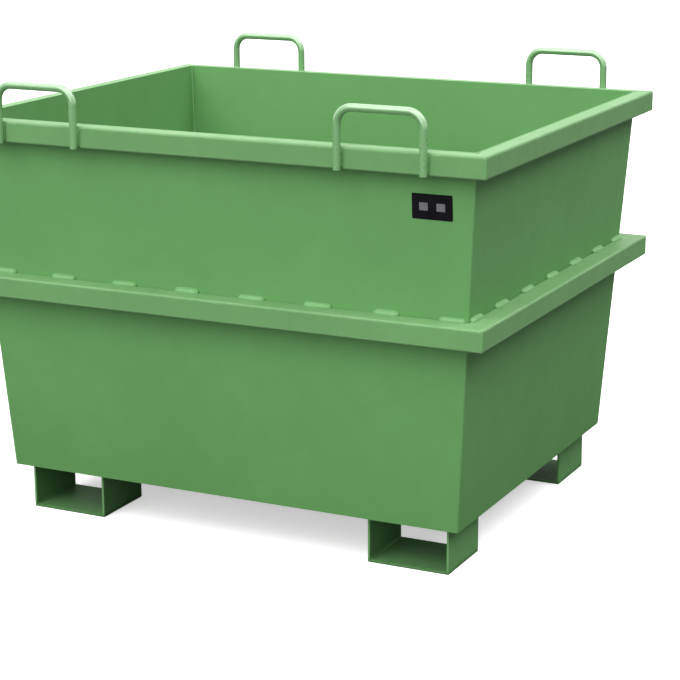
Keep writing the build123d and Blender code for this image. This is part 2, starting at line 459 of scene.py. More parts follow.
@dataclass(frozen=True)
class BlackPlate:
    """Satin black sheet with a fine grain and pale blank fields.

    Attributes:
        slot: The record's material slot.
        tone: Middle colour, linear.
        hazed: Colour of handling marks.
        blank: Colour of the blank fields.
        broad: Wanders of the tone per metre.
        fine: Small wanders of the tone per metre.
        marks: How far handling marks show.
        faded: How far the blank fields cover the black, where they are faded most and least.
        grain: Grains per metre.
        depth: Height of the grain in metres.
        rough: Roughness where the tone is thin and where it is full.
        shine: Strength of the reflections.
    """

    slot: str = "plate_black"
    tone: Colour = (0.0025, 0.0022, 0.003)
    hazed: Colour = (0.02, 0.019, 0.022)
    blank: Colour = (0.18, 0.17, 0.19)
    broad: float = 28.0
    fine: float = 240.0
    marks: float = 0.3
    faded: tuple[float, float] = (0.8, 1.0)
    grain: float = 1500.0
    depth: float = 0.00006
    rough: tuple[float, float] = (0.45, 0.55)
    shine: float = 0.06

    @lru_cache(maxsize=None)
    def material(self) -> bpy.types.Material:
        """Builds the node material, once.

        Returns:
            The material.
        """
        material, graph, place = open_material(f"{self.slot}_finish")
        tone = graph.group(tone_drift(), Place=place, Broad=self.broad, Fine=self.fine)
        colour = graph.tint(graph.reckon("MULTIPLY", tone, self.marks), self.tone, self.hazed)
        field = graph.add("ShaderNodeAttribute", {}, attribute_name=FIELD).outputs["Fac"]
        faded = graph.spread(tone, 0.0, 1.0, *self.faded)
        colour = graph.tint(graph.reckon("MULTIPLY", field, faded), colour, self.blank)
        grain = graph.group(paint_film(), Place=place, Ripples=self.grain)
        bump = graph.add("ShaderNodeBump", {"Height": grain, "Strength": 0.5, "Distance": self.depth})
        graph.surface({
            "Base Color": colour,
            "Roughness": graph.spread(tone, 0.0, 1.0, *self.rough),
            "Normal": bump.outputs[0],
            "Specular IOR Level": self.shine,
        })
        return material


# the tub's paint carries more painted shade towards the ground, darkening its lower walls
TUB_PAINT = Paint("tub_paint", drift=0.055, broad=1.7, dust=0.12, grime=0.42, shine=0.08)
# tube paint: a darker copy of the tub's green, painted shade that dims the rim's and belt's upright
# faces
TUBE_PAINT = Paint("tube_paint", tone=(0.132, 0.297, 0.112), broad=3.0, rubs=0.22)
# bar paint: a lighter copy of the tub's green, a painted highlight that brightens the lifting loops
BAR_PAINT = Paint(
    "bar_paint", tone=(0.15, 0.35, 0.13), broad=6.0, ripples=320.0, rough=0.26, rubs=0.3,
    shine=1.0, gloss=0.8,
)
# foot paint: a lighter copy of the tub's green, painted light on the shaded faces inside the feet; its
# darker ground colour paints a contact shadow along the bars' lower edges
FOOT_PAINT = Paint(
    "foot_paint", tone=(0.15, 0.345, 0.13), broad=5.0, wear_and_highlight=0.0, rubs=0.3, dust=0.01, grime=0.14,
    shine=0.02, ground_shade_colour=(0.03, 0.08, 0.025),
)
WELD_PAINT = Paint(
    "weld_paint", broad=8.0, ripples=420.0, film=0.0003, rough=0.44, rubs=0.0, shine=0.32,
)
PLATE_BLACK = BlackPlate()
Finish = Union[Paint, BlackPlate]


class Workpiece:
    """One mesh on the bench, shaped step by step."""

    def __init__(self, name: str) -> None:
        """Takes the primitive that was added last.

        Args:
            name: The piece's name.
        """
        self.thing = bpy.context.object
        self.call(name)

    def call(self, name: str) -> None:
        """Names the piece and its mesh."""
        self.thing.name = name
        self.thing.data.name = name

    @staticmethod
    def clear_bench() -> None:
        """Leaves nothing selected."""
        bpy.ops.object.select_all(action="DESELECT")

    @classmethod
    def block(cls, name: str, low: Sequence[float], high: Sequence[float]) -> "Workpiece":
        """A box between two corners.

        Args:
            name: The piece's name.
            low: The lowest corner.
            high: The highest corner.

        Returns:
            The piece.
        """
        cls.clear_bench()
        size = Vector(high) - Vector(low)
        bpy.ops.mesh.primitive_cube_add(size=1.0, location=Vector(low) + size / 2)
        return cls(name).stretch(size)

    @classmethod
    def leaf(cls, name: str, width: float, height: float) -> "Workpiece":
        """A flat face on the XY plane, about the origin.

        Args:
            name: The piece's name.
            width: Its size along X.
            height: Its size along Y.

        Returns:
            The piece.
        """
        cls.clear_bench()
        bpy.ops.mesh.primitive_plane_add(size=1.0, location=(0, 0, 0))
        return cls(name).stretch((width, height, 1.0))

    @classmethod
    def hoop(
        cls, name: str, centre: Sequence[float], turn: Sequence[float], radii: tuple[float, float],
        count: int,
    ) -> "Workpiece":
        """A bare ring of edges.

        Args:
            name: The piece's name.
            centre: The ring's centre.
            turn: Turns about X, Y and Z that take its axis from Z.
            radii: Its radii along its own X and Y.
            count: Points on it.

        Returns:
            The piece.
        """
        cls.clear_bench()
        bpy.ops.mesh.primitive_circle_add(vertices=count, radius=1.0, location=centre, rotation=turn)
        return cls(name).stretch((*radii, 1.0))

    def copy(self, name: str) -> "Workpiece":
        """A second piece with a mesh of its own.

        Args:
            name: The copy's name.

        Returns:
            The copy.
        """
        self.hold()
        bpy.ops.object.duplicate(linked=False)
        return Workpiece(name)

    def hold(self) -> None:
        """Makes this the only piece selected, and the active one."""
        self.clear_bench()
        self.thing.select_set(True)
        bpy.context.view_layer.objects.active = self.thing

    def stretch(self, shares: Sequence[float]) -> "Workpiece":
        """Scales a new primitive along its own axes and puts its place in its mesh.

        Args:
            shares: The scale along each axis.

        Returns:
            The piece.
        """
        self.thing.scale = shares
        return self.settle()

    def settle(self, place: Matrix = Matrix.Identity(4)) -> "Workpiece":
        """Moves the piece and puts its place in its mesh.

        Args:
            place: Where the piece goes from where it is.

        Returns:
            The piece.
        """
        self.hold()
        bpy.context.view_layer.update()
        self.thing.matrix_world = place @ self.thing.matrix_world
        bpy.context.view_layer.update()
        bpy.ops.object.transform_apply(location=True, rotation=True, scale=True)
        return self

    @contextmanager
    def editing(self) -> Iterator[None]:
        """Edit mode with everything selected, for as long as the block runs."""
        self.hold()
        bpy.ops.object.mode_set(mode="EDIT")
        bpy.ops.mesh.select_all(action="SELECT")
        try:
            yield
        finally:
            bpy.ops.object.mode_set(mode="OBJECT")

    def pick(self, grip: Grip, test: Callable[[Any], bool]) -> None:
        """Selects what passes a test, in edit mode, and nothing else.

        Args:
            grip: Whether points, edges or faces are tested.
            test: Tells of one of them whether it is selected.
        """
        bpy.ops.mesh.select_mode(type=grip.value)
        bpy.ops.mesh.select_all(action="DESELECT")
        shape = bmesh.from_edit_mesh(self.thing.data)
        lists = {Grip.POINTS: shape.verts, Grip.EDGES: shape.edges, Grip.FACES: shape.faces}
        for item in [item for item in lists[grip] if test(item)]:
            item.select_set(True)
        shape.select_flush_mode()
        bmesh.update_edit_mesh(self.thing.data)

    def score(self, point: Sequence[float], normal: Sequence[float]) -> None:
        """Draws a line of edges where a plane crosses the piece, in edit mode.

        Args:
            point: A point of the plane.
            normal: The plane's normal.
        """
        bpy.ops.mesh.select_all(action="SELECT")
        bpy.ops.mesh.bisect(plane_co=point, plane_no=normal)

    def cut(self, point: Sequence[float], normal: Sequence[float]) -> None:
        """Cuts off what lies in front of a plane and closes the cut, in edit mode.

        Args:
            point: A point of the plane.
            normal: The plane's normal, towards what is cut off.
        """
        bpy.ops.mesh.select_all(action="SELECT")
        bpy.ops.mesh.bisect(plane_co=point, plane_no=normal, use_fill=True, clear_outer=True)

    def modify(self, kind: str, **settings: Any) -> None:
        """Adds a modifier and applies it.

        Args:
            kind: The modifier's type.
            **settings: Its options.
        """
        self.hold()
        modifier = self.thing.modifiers.new(kind.lower(), kind)
        for option, value in settings.items():
            setattr(modifier, option, value)
        bpy.ops.object.modifier_apply(modifier=modifier.name)

    def absorb(self, others: Iterable["Workpiece"]) -> "Workpiece":
        """Joins other pieces into this one.

        Args:
            others: The pieces, which are gone afterwards.

        Returns:
            This piece.
        """
        self.hold()
        for other in others:
            other.thing.select_set(True)
        bpy.ops.object.join()
        return self

    def mark_arrises(self, longer: float = 0.0, least: float = radians(7.0)) -> None:
        """Writes the attribute that tells rounded arrises from flats.

        Args:
            longer: Edges no longer than this, as round the ends of a tube, don't count.
            least: The angle between neighbouring faces from which a point counts as rounded.
        """
        mesh = self.thing.data
        layer = mesh.attributes.new(EDGE, "FLOAT", "POINT")
        shape = bmesh.new()
        shape.from_mesh(mesh)
        for point in shape.verts:
            edges = (edge for edge in point.link_edges if edge.is_convex)
            bends = [edge.calc_face_angle(0.0) for edge in edges if edge.calc_length() > longer]
            layer.data[point.index].value = 1.0 if bends and max(bends) > least else 0.0
        shape.free()

    def dress(self, finish: Finish, *nodes: str, smooth: float = radians(35.0)) -> None:
        """Shades the piece, paints it and hangs it on the body.

        Args:
            finish: What it is painted with.
            *nodes: The CAD nodes that it stands for.
            smooth: The angle up to which neighbouring faces shade as one.
        """
        self.hold()
        bpy.ops.object.shade_smooth_by_angle(angle=smooth)
        self.modify("WEIGHTED_NORMAL", mode="FACE_AREA", weight=60, keep_sharp=True)
        self.thing.data.materials.clear()
        self.thing.data.materials.append(finish.material())
        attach(self.thing, BODY)
        if nodes:
            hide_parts(*nodes)
        faces, stands_for = len(self.thing.data.polygons), ", ".join(nodes) or "trim"
        LOG.info("%s: %d faces, for %s", self.thing.name, faces, stands_for)

    def dress_all(self, finish: Finish, nodes: Sequence[str]) -> None:
        """Dresses a bar made for the first of several like nodes, and a copy of it for each other one.

        Args:
            finish: What they are painted with.
            nodes: The CAD nodes, which differ only in their place.
        """
        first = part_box(nodes[0])[0]
        for node in nodes[1:]:
            place = Matrix.Translation(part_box(node)[0] - first)
            self.copy(f"{node}_bar").settle(place).dress(finish, node)
        self.dress(finish, nodes[0])


@dataclass(frozen=True)
class TubForm:
    """The tub's leaning outer faces, which the other pieces are set against.

    Attributes:
        mouth_half_length: Half the length at the rim's top.
        mouth_half_width: Half the width at the rim's top.
        mouth: Level of the rim's top.
        bottom: Level of the floor's underside.
        end_slope: Lean of the left and right walls.
        side_slope: Lean of the front and rear walls.
    """

    mouth_half_length: float = 0.712184
    mouth_half_width: float = 0.577155
    mouth: float = 1.077
    bottom: float = 0.125
    end_slope: float = radians(3.8)
    side_slope: float = radians(3.5)

    def slope(self, side: Side) -> float:
        """Lean of a side's wall."""
        return self.side_slope if side.lengthwise else self.end_slope

    def half_length(self, level: float) -> float:
        """Half the tub's length at a level."""
        return self.mouth_half_length - (self.mouth - level) * tan(self.end_slope)

    def half_width(self, level: float) -> float:
        """Half the tub's width at a level."""
        return self.mouth_half_width - (self.mouth - level) * tan(self.side_slope)

    def run(self, side: Side, level: float) -> float:
        """Half the tub's size along a side, at a level."""
        return self.half_length(level) if side.lengthwise else self.half_width(level)

    def reach(self, side: Side, level: float) -> float:
        """Distance from the middle out to a side's outer face, at a level."""
        return self.half_width(level) if side.lengthwise else self.half_length(level)

    def on_face(self, side: Side, along: float, level: float) -> Matrix:
        """A place on a wall's outer face.

        Args:
            side: The wall's side.
            along: Distance from the side's middle, to the right seen from outside.
            level: Height above the ground.

        Returns:
            The frame there, with X along the wall, Y up its slope and Z outwards.
        """
        lean = self.slope(side)
        across = Matrix((
            (1.0, 0.0, 0.0, along),
            (0.0, -sin(lean), -cos(lean), -self.reach(side, level)),
            (0.0, cos(lean), -sin(lean), level),
            (0.0, 0.0, 0.0, 1.0),
        ))
        return side.turn @ across


FORM = TubForm()


@dataclass(frozen=True)
class Bead:
    """A rippled run of weld.

    Attributes:
        width: Half its width, across Y.
        height: Half its height, along Z.
        pitch: Distance between ripples.
        dip: How far it narrows between ripples, as a share.
        count: Points round it.
        domed: Whether its ends are rounded over rather than cut off.
        dome: Length of each step of a rounded end in half heights, and how far it narrows.
    """

    width: float
    height: float
    pitch: float
    dip: float = 0.12
    count: int = 12
    domed: bool = True
    dome: tuple[tuple[float, float], ...] = ((0.5, 0.87), (0.37, 0.58))

    def run(self, name: str, length: float) -> Workpiece:
        """Lays a full round bead along X, with its middle at the origin.

        Args:
            name: The piece's name.
            length: Its length, ends included.

        Returns:
            The piece.
        """
        body = length - (2 * self.height if self.domed else 0.0)
        ripples = max(2, round(body / self.pitch))
        step = body / ripples
        start = (-body / 2, 0.0, 0.0)
        narrow = 1 - self.dip
        piece = Workpiece.hoop(
            name, start, (0, pi / 2, 0), (self.height * narrow, self.width * narrow), self.count
        )
        with piece.editing():
            for share in (1 / narrow, narrow):
                bpy.ops.mesh.extrude_region_move(TRANSFORM_OT_translate={"value": (step / 2, 0, 0)})
                bpy.ops.transform.resize(value=(1, share, share), center_override=start)
        piece.modify(
            "ARRAY", count=ripples, use_relative_offset=False, use_constant_offset=True,
            constant_offset_displace=(step, 0, 0), use_merge_vertices=True, merge_threshold=step / 20,
        )
        with piece.editing():
            for end in (-1, 1):
                piece.pick(Grip.POINTS, lambda point: abs(point.co.x - end * body / 2) < step / 8)
                if self.domed:
                    for reach, share in self.dome:
                        move = (end * reach * self.height, 0, 0)
                        bpy.ops.mesh.extrude_region_move(TRANSFORM_OT_translate={"value": move})
                        bpy.ops.transform.resize(value=(1, share, share), center_override=start)
                bpy.ops.mesh.edge_face_add()
            bpy.ops.mesh.select_all(action="SELECT")
            bpy.ops.mesh.normals_make_consistent(inside=False)
        return piece

    def fillet(self, name: str, length: float, planes: Iterable[tuple[Vector, Vector]]) -> Workpiece:
        """A bead cut off where it would sink too deep into what it joins.

        Args:
            name: The piece's name.
            length: Its length.
            planes: A point and the outward normal of each cut.

        Returns:
            The piece, along X, with the root of the weld at the origin.
        """
        piece = self.run(name, length)
        with piece.editing():
            for point, normal in planes:
                piece.cut(point, normal)
        return piece

    def repeat(
        self, name: str, length: float, places: Sequence[Matrix],
        planes: Iterable[tuple[Vector, Vector]] = (),
    ) -> Workpiece:
        """Models one bead and lays a copy of it at each of several places.

        Args:
            name: The name of all of them together.
            length: A bead's length, ends included.
            places: Where the beads go.
            planes: A point and the outward normal of each cut that a bead has.

        Returns:
            The beads as one piece.
        """
        model = self.fillet(name, length, planes)
        beads = [model, *(model.copy(name) for _ in places[1:])]
        return together(name, [bead.settle(place) for bead, place in zip(beads, places)])


def along_line(start: Vector, end: Vector, up: Vector) -> Matrix:
    """The frame that lays a bead between two points.

    Args:
        start: Where the bead starts.
        end: Where it ends.
        up: Roughly the direction of the bead's height.

    Returns:
        A frame at the middle, with X along the line and Z near up.
    """
    x = (end - start).normalized()
    y = up.cross(x).normalized()
    z = x.cross(y)
    middle = (start + end) / 2
    return Matrix.Translation(middle) @ Matrix((x, y, z)).transposed().to_4x4()


def together(name: str, beads: Sequence[Workpiece]) -> Workpiece:
    """Joins several beads into one named piece.

    Args:
        name: The piece's name.
        beads: The beads, at least one.

    Returns:
        The joined piece.
    """
    whole = beads[0].absorb(beads[1:])
    whole.call(name)
    return whole


@dataclass
class Tub:
    """Four leaning walls, the floor and the seams between them.

    Attributes:
        sheet: Thickness of the walls.
        floor_sheet: Thickness of the floor.
        seam: Radius of the corner seams, and so of the tub's upright edges.
        cuts: How often a sheet is divided each way.
        swell: How far the sheets may swell or sink between their edges.
        belt_level: Level at which the belt keeps the walls straight.
        belt_hold: How far either way from there it does so.
        rim_hold: How far down from their tops the rim keeps the walls straight.
        ease: Distance from a held line at which a sheet is quite loose.
        wave: Size of the sheets' waves.
        wall_bite: How deep the floor seams are let into the walls.
        floor_bite: How deep they are let into the floor.
    """

    sheet: float = 0.004
    floor_sheet: float = 0.005
    seam: float = 0.005
    cuts: int = 39
    swell: float = 0.0034
    belt_level: float = 0.6395
    belt_hold: float = 0.03
    rim_hold: float = 0.056
    ease: float = 0.22
    wave: float = 0.42
    wall_bite: float = 0.0015
    floor_bite: float = 0.002

    def __post_init__(self) -> None:
        """Makes the slow waves of rolled sheet."""
        self.waves = bpy.data.textures.new("sheet_waves", "CLOUDS")
        self.waves.noise_scale = self.wave
        self.waves.noise_depth = 1

    def loosen(self, piece: Workpiece, held: Callable[[Vector], float]) -> None:
        """Divides a sheet and lets it swell away from its held lines.

        Args:
            piece: The sheet, flat on the XY plane.
            held: Distance of a point from the nearest line that is held straight.
        """
        with piece.editing():
            bpy.ops.mesh.subdivide(number_cuts=self.cuts)
        loose = piece.thing.vertex_groups.new(name="loose")
        for point in piece.thing.data.vertices:
            share = min(1.0, max(0.0, held(point.co) / self.ease))
            loose.add([point.index], share * share * (3 - 2 * share), "REPLACE")

    def swell_and_thicken(self, piece: Workpiece, thickness: float) -> None:
        """Swells a placed sheet and gives it its thickness, inwards.

        Args:
            piece: The sheet.
            thickness: Its thickness.
        """
        piece.modify(
            "DISPLACE", texture=self.waves, texture_coords="LOCAL", strength=self.swell, mid_level=0.5,
            vertex_group="loose",
        )
        piece.modify("SOLIDIFY", thickness=thickness, offset=-1.0)
        piece.thing.vertex_groups.clear()

    def walls(self, side: Side, opposite: Side) -> None:
        """Builds two leaning walls that face each other.

        Args:
            side: The first wall's side.
            opposite: The other's.
        """
        lean = FORM.slope(side)
        tall = (FORM.mouth - FORM.bottom) / cos(lean)
        middle = (FORM.mouth + FORM.bottom) / 2
        half_top = FORM.run(side, FORM.mouth) - self.seam
        half_bottom = FORM.run(side, FORM.bottom) - self.seam
        piece = Workpiece.leaf(f"{side.word}_wall_sheet", 2 * half_top, tall)
        with piece.editing():
            piece.pick(Grip.POINTS, lambda point: point.co.y < 0)
            narrower = (half_bottom / half_top, 1, 1)
            bpy.ops.transform.resize(value=narrower, center_override=(0, -tall / 2, 0))
        belt = (self.belt_level - middle) / cos(lean)

        def held(point: Vector) -> float:
            """Distance from the nearest line that is held straight.

            Args:
                point: A point of the wall, on the XY plane.

            Returns:
                Its distance from the nearest edge, from the rim or from the belt.
            """
            half = half_bottom + (half_top - half_bottom) * (point.y / tall + 0.5)
            ends = min(tall / 2 + point.y, tall / 2 - self.rim_hold - point.y)
            return min(half - abs(point.x), ends, abs(point.y - belt) - self.belt_hold)

        self.loosen(piece, held)
        facing = piece.copy(f"{opposite.word}_wall_sheet")
        for where, sheet in ((side, piece), (opposite, facing)):
            sheet.settle(FORM.on_face(where, 0.0, middle))
            self.swell_and_thicken(sheet, self.sheet)
            sheet.dress(TUB_PAINT, f"{where.word}_wall")

    def floor(self) -> None:
        """Builds the floor between the walls."""
        low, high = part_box("floor_plate")
        piece = Workpiece.leaf("floor_sheet", high.x - low.x, high.y - low.y)
        self.loosen(piece, lambda point: min(high.x - abs(point.x), high.y - abs(point.y)))
        piece.settle(Matrix.Translation((0, 0, high.z)))
        self.swell_and_thicken(piece, self.floor_sheet)
        piece.dress(TUB_PAINT, "floor_plate")

    def seam_axis(self, corner: Corner, level: float) -> Vector:
        """A point on the axis of a corner seam.

        Args:
            corner: The seam's corner.
            level: Height above the ground.

        Returns:
            The point.
        """
        x = FORM.half_length(level) - self.seam / cos(FORM.end_slope)
        y = FORM.half_width(level) - self.seam / cos(FORM.side_slope)
        return Vector((corner.value[0] * x, corner.value[1] * y, level))

    def corner_seams(self) -> None:
        """Builds the upright seams that round the tub's corners."""
        bead = Bead(self.seam, self.seam, pitch=0.0055, dip=0.05, count=20, domed=False)
        places = []
        for corner in Corner:
            low, high = (self.seam_axis(corner, level) for level in (FORM.bottom, FORM.mouth))
            places.append(along_line(low, high, Vector((*corner.value, 0))))
        bead.repeat("corner_seams", (high - low).length, places).dress(WELD_PAINT)

    def floor_seams(self) -> None:
        """Builds the fillets between the floor and the walls' inner faces."""
        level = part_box("floor_plate")[1].z
        bead = Bead(width=0.005, height=0.005, pitch=0.006)
        seams = []
        for sides in OPPOSITES:
            lean = FORM.slope(sides[0])
            inwards = self.sheet / cos(lean)
            root = Matrix.Translation((0, inwards - FORM.reach(sides[0], level), level))
            planes = (
                (Vector((0, -self.wall_bite, 0)), Vector((0, -cos(lean), -sin(lean)))),
                (Vector((0, 0, -self.floor_bite)), Vector((0, 0, -1))),
            )
            length = 2 * FORM.run(sides[0], level) - 4 * self.seam
            places = [side.turn @ root for side in sides]
            seams.append(bead.repeat("floor_seam", length, places, planes))
        together("floor_seams", seams).dress(WELD_PAINT)

    def build(self) -> None:
        """Builds the tub's pieces."""
        for sides in OPPOSITES:
            self.walls(*sides)
        self.floor()
        self.corner_seams()
        self.floor_seams()


@dataclass
class TubeRing:
    """A ring of mitred tube round the tub, with its dressed corner welds.

    Attributes:
        word: The ring's name as the frame's nodes have it.
        corner: Outside radius of the tube's long edges.
        seam: Radius of the upright corner welds.
        margin: Width of the strip that is divided off each flat, beside its rounded edge.
        seam_end: How far the upright welds stop short of the tube's top and underside.
        strip_start: How far the flat welds stop short of the tube's outer arris.
        strip_end: How far they stop short of its inner one.
        strip_sunk: How deep they are let into the tube.
    """

    word: str
    corner: float
    seam: float = 0.004
    margin: float = 0.003
    seam_end: float = 0.002
    strip_start: float = 0.006
    strip_end: float = 0.004
    strip_sunk: float = 0.0007

    def __post_init__(self) -> None:
        """Reads the ring's sizes off the frame."""
        low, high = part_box(f"{self.word}_front")
        self.half_length, self.half_width = high.x, -low.y
        self.bottom, self.top = low.z, high.z
        self.depth = high.y - low.y

    def tube(self, side: Side) -> Workpiece:
        """Models one side's tube, where it would be at the front.

        Args:
            side: The side.

        Returns:
            The tube.
        """
        halves = (self.half_length, self.half_width)
        run, reach = halves if side.lengthwise else halves[::-1]
        inner = self.depth - reach
        piece = Workpiece.block(
            f"{self.word}_{side.word}_tube", (-run, -reach, self.bottom), (run, inner, self.top)
        )
        flat = self.corner + self.margin
        with piece.editing():
            piece.pick(Grip.POINTS, lambda point: point.co.y > inner - self.depth / 2)
            shorter = ((run - self.depth) / run, 1, 1)
            bpy.ops.transform.resize(value=shorter, center_override=(0, inner, 0))
            piece.pick(Grip.EDGES, lambda edge: abs(edge.verts[0].co.x - edge.verts[1].co.x) > run)
            bpy.ops.mesh.bevel(offset=self.corner, segments=5, affect="EDGES", clamp_overlap=False)
            for level in (self.bottom + flat, self.top - flat):
                piece.score((0, 0, level), (0, 0, 1))
            for back in (flat - reach, inner - flat):
                piece.score((0, back, 0), (0, 1, 0))
            for end in (-1, 1):
                piece.cut((end * (run - self.seam), -reach, 0), (end, -1, 0))
        piece.mark_arrises(longer=self.depth * 2)
        return piece

    def mitre(self, corner: Corner, inset: float, level: float) -> Vector:
        """A point on a corner's mitre, this far inside both outer faces."""
        out_x, out_y = corner.value
        return Vector((out_x * (self.half_length - inset), out_y * (self.half_width - inset), level))

    def corner_welds(self) -> None:
        """Builds the welds over the mitres: upright round the arris, flat across top and underside."""
        upright = Bead(self.seam, self.seam, pitch=0.004, dip=0.05, count=16)
        strip = Bead(width=0.0032, height=0.0016, pitch=0.0036, dip=0.1)
        foot, head = self.bottom + self.seam_end, self.top - self.seam_end
        near, far = self.strip_start, self.depth - self.strip_end
        uprights, flats = [], []
        for corner in Corner:
            ends = (self.mitre(corner, self.seam, level) for level in (foot, head))
            uprights.append(along_line(*ends, Vector((*corner.value, 0))))
            for level in (self.bottom + self.strip_sunk, self.top - self.strip_sunk):
                start, end = (self.mitre(corner, inset, level) for inset in (near, far))
                flats.append(along_line(start, end, Vector((0, 0, 1))))
        welds = (
            upright.repeat(f"{self.word}_upright_welds", head - foot, uprights),
            strip.repeat(f"{self.word}_flat_welds", (end - start).length, flats),
        )
        together(f"{self.word}_corner_welds", welds).dress(WELD_PAINT)

    def build(self) -> None:
        """Builds the ring's pieces."""
        for side, opposite in OPPOSITES:
            tube = self.tube(side)
            facing = tube.copy(f"{self.word}_{opposite.word}_tube")
            for where, piece in ((side, tube), (opposite, facing)):
                piece.settle(where.turn).dress(TUBE_PAINT, f"{self.word}_{where.word}")
        self.corner_welds()


@dataclass
class LiftingLoops:
    """Four hoops of bent round bar on the rim's outer faces.

    Attributes:
        half_bar: Half the bar's thickness in the frame.
        radius: Radius of the bar.
        bend: Radius of the bar's axis in its bends.
        steps: Faces along each bend.
        count: Faces round the bar.
        chamfer: Width of the broken edge on the sawn ends.
        same: Points closer than this are one.
        weld_aside: Distance of a bead's axis from that of the leg, along the rim.
        weld_off: Distance of a bead's axis from the rim's face.
    """

    half_bar: float = 0.01
    radius: float = 0.00996
    bend: float = 0.04
    steps: int = 14
    count: int = 28
    chamfer: float = 0.0012
    same: float = 0.00002
    weld_aside: float = 0.0083
    weld_off: float = 0.0016

    def loop(self, node: str) -> Workpiece:
        """Bends one loop.

        Args:
            node: The CAD node that it stands for.

        Returns:
            The loop.
        """
        low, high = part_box(node)
        y = (low.y + high.y) / 2
        left, right = low.x + self.half_bar, high.x - self.half_bar
        top = high.z - self.half_bar
        start = (left, y, low.z)
        radii = (self.radius, self.radius)
        piece = Workpiece.hoop(f"{node}_bar", start, (0, 0, 0), radii, self.count)
        with piece.editing():
            rise = top - self.bend - low.z
            bpy.ops.mesh.extrude_region_move(TRANSFORM_OT_translate={"value": (0, 0, rise)})
            self.bend_over((left + self.bend, y, top - self.bend))
            across = right - left - 2 * self.bend
            bpy.ops.mesh.extrude_region_move(TRANSFORM_OT_translate={"value": (across, 0, 0)})
            self.bend_over((right - self.bend, y, top - self.bend))
            bpy.ops.mesh.extrude_region_move(TRANSFORM_OT_translate={"value": (0, 0, -rise)})
            bpy.ops.mesh.select_all(action="SELECT")
            bpy.ops.mesh.remove_doubles(threshold=self.same)
            for middle in (left, right):
                reach = 2 * self.radius
                piece.pick(
                    Grip.EDGES,
                    lambda edge: edge.is_boundary and abs(edge.verts[0].co.x - middle) < reach,
                )
                bpy.ops.mesh.edge_face_add()
            bpy.ops.mesh.select_all(action="SELECT")
            bpy.ops.mesh.normals_make_consistent(inside=False)
            sawn = low.z + self.chamfer / 2
            piece.pick(Grip.EDGES, lambda edge: all(point.co.z < sawn for point in edge.verts))
            bpy.ops.mesh.bevel(offset=self.chamfer, segments=2, affect="EDGES")
        return piece

    def bend_over(self, centre: tuple[float, float, float]) -> None:
        """Spins the open end a quarter turn about a level axis along Y.

        Args:
            centre: Where the axis passes.
        """
        bpy.ops.mesh.spin(steps=self.steps, angle=-pi / 2, center=centre, axis=(0, 1, 0))

    def welds(self) -> None:
        """Builds the beads beside the legs."""
        bead = Bead(width=0.0031, height=0.0031, pitch=0.0042, dip=0.14)
        low_level, high_level = (corner.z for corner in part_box("loop_welds"))
        places = []
        for corner in Corner:
            low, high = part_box(f"loop_{corner.word}")
            out = corner.value[1]
            y = (low.y if out > 0 else high.y) + out * self.weld_off
            for leg in (low.x + self.half_bar, high.x - self.half_bar):
                for aside in (-self.weld_aside, self.weld_aside):
                    foot, head = (Vector((leg + aside, y, level)) for level in (low_level, high_level))
                    places.append(along_line(foot, head, Vector((0, out, 0))))
        beads = bead.repeat("loop_weld_beads", high_level - low_level, places)
        beads.dress(WELD_PAINT, "loop_welds")

    def build(self) -> None:
        """Builds the loops and their welds."""
        nodes = [f"loop_{corner.word}" for corner in Corner]
        self.loop(nodes[0]).dress_all(BAR_PAINT, nodes)
        self.welds()


